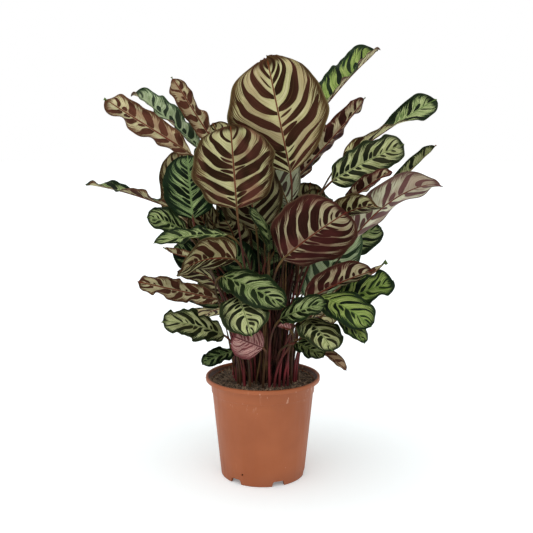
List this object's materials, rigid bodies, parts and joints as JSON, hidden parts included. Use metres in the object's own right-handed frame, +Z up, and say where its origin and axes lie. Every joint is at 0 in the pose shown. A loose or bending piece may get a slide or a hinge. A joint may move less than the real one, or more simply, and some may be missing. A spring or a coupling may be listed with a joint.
{
  "type": "potted plant",
  "caption": "Peacock plant with patterned oval leaves, purple beneath, on thin stalks in a round tapered plastic nursery pot.",
  "frame": {"origin": "centre of the pot's underside, where it stands", "axes": "+Z up through the plant; -Y is the front of the picture and +X its right"},
  "size_m": [0.532, 0.3772, 0.6367],
  "materials": {
    "pot": "satin",
    "soil": "matte",
    "leaf": "satin",
    "young": "satin"
  },
  "bodies": {
    "root": {"pot": "pot", "soil": "soil", "leaf_crown_main": "leaf", "leaf_crown_left": "leaf", "leaf_front_right_big": "leaf", "leaf_crown_behind": "leaf", "leaf_crown_right": "leaf", "leaf_crown_inner": "leaf", "leaf_top_right": "leaf", "leaf_high_right_far": "leaf", "leaf_right_green": "leaf", "leaf_right_slim": "leaf", "leaf_right_red": "leaf", "leaf_right_pink": "leaf", "leaf_right_small": "leaf", "leaf_dark_mid": "leaf", "leaf_pale_right": "leaf", "leaf_pale_inner": "leaf", "leaf_right_low_green": "leaf", "leaf_right_brown": "leaf", "leaf_right_spear": "leaf", "leaf_right_tongue": "leaf", "leaf_bright_a": "leaf", "leaf_bright_b": "leaf", "leaf_front_low_right": "leaf", "leaf_front_low_left": "leaf", "leaf_front_middle": "leaf", "leaf_front_middle_right": "leaf", "leaf_pink_big": "young", "leaf_pink_small": "young", "leaf_tan_low_right": "leaf", "leaf_dark_low_right": "leaf", "leaf_left_high": "leaf", "leaf_left_high_second": "leaf", "leaf_left_high_third": "leaf", "leaf_left_top_behind": "leaf", "leaf_left_dark": "leaf", "leaf_left_green_face": "leaf", "leaf_left_needle": "leaf", "leaf_left_green_tip": "leaf", "leaf_left_narrow": "leaf", "leaf_left_curled": "leaf", "leaf_left_brown": "leaf", "leaf_left_wavy": "leaf", "leaf_left_low_green": "leaf", "leaf_left_lowest": "leaf", "leaf_inner_left": "leaf", "leaf_inner_middle": "leaf", "leaf_inner_far_left": "leaf", "leaf_inner_right": "leaf", "leaf_back_top": "leaf", "leaf_back_high_left": "leaf", "leaf_back_high_right": "leaf", "leaf_back_middle": "leaf", "leaf_back_left": "leaf", "leaf_back_right": "leaf", "leaf_back_mid_left": "leaf", "leaf_back_mid_right": "leaf", "leaf_back_low_left": "leaf", "leaf_back_low_right": "leaf"}
  },
  "joints": []
}
